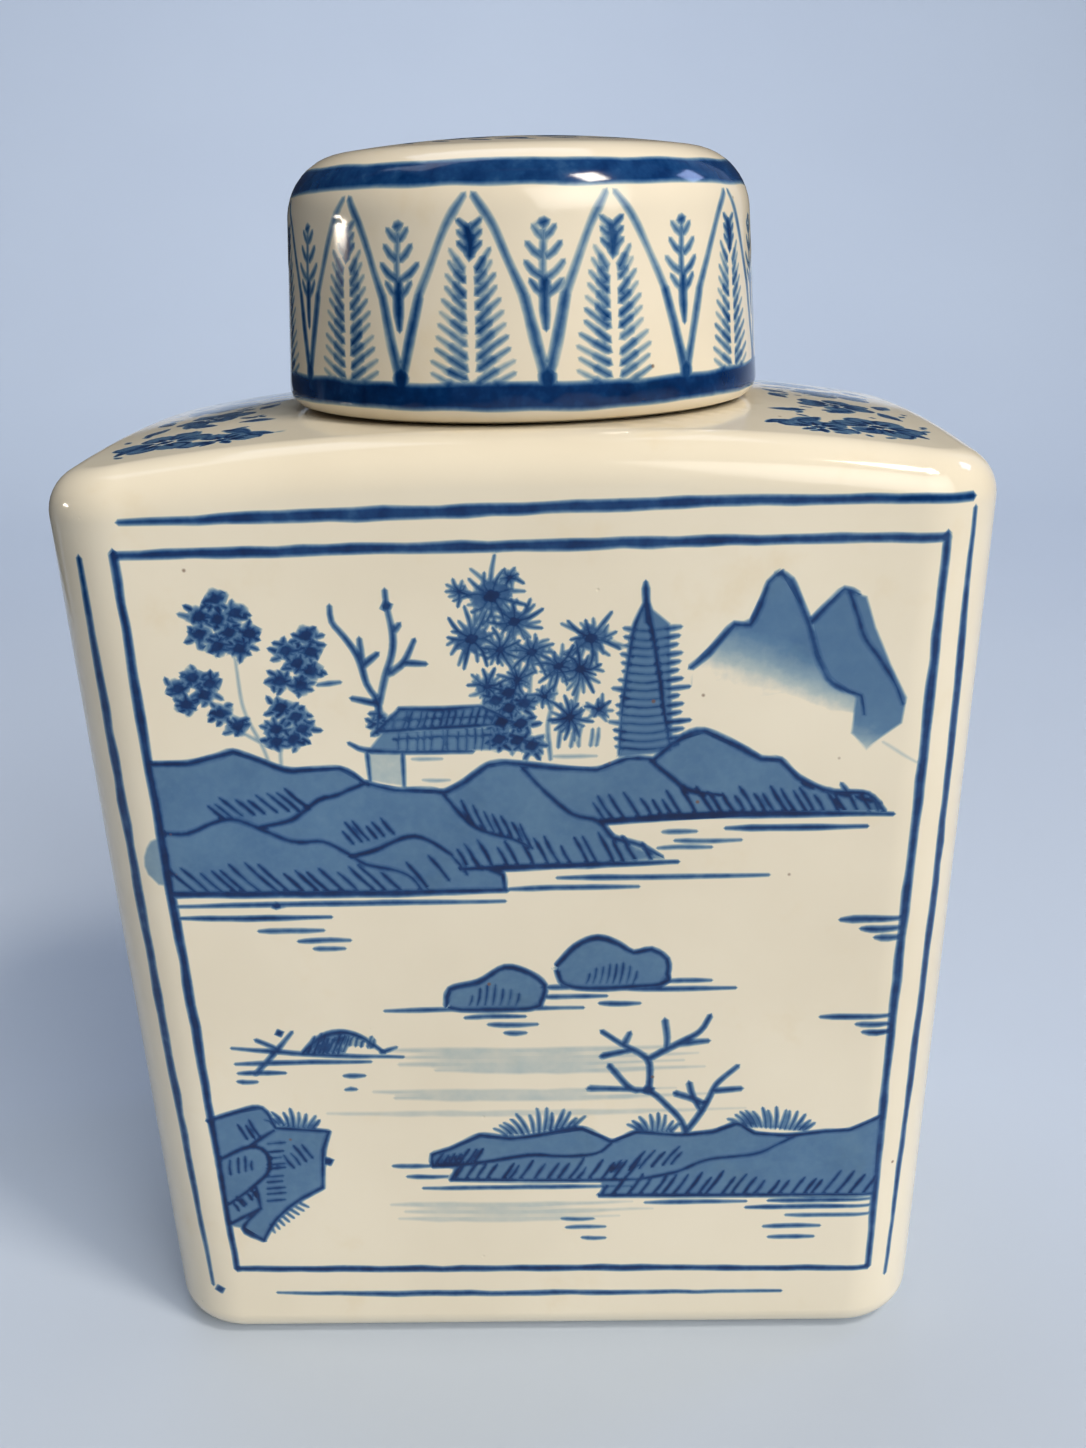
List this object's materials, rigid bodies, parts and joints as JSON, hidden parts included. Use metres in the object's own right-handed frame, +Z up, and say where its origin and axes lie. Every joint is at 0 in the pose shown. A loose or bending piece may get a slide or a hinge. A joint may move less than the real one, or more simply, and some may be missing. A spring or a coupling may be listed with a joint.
{
  "type": "ceramic lidded jar",
  "caption": "Lidded porcelain jar of the tea caddy kind: rounded rectangular body that narrows to the foot, arched shoulder, round neck and a round cap; keeps dry goods",
  "frame": {"origin": "centre of the underside, on the surface that the jar stands on", "axes": "+Z up; X along the wide side; the painted front looks towards -Y"},
  "size_m": [0.115, 0.0742, 0.1621],
  "materials": {
    "painted_porcelain_body": "glossy cream glaze over cobalt blue painting, with a bare foot ring",
    "painted_porcelain_lid": "glossy cream glaze over cobalt blue painting, with a bare rim"
  },
  "bodies": {
    "root": {"jar_body": "painted_porcelain_body", "lid": "painted_porcelain_lid"}
  },
  "joints": []
}
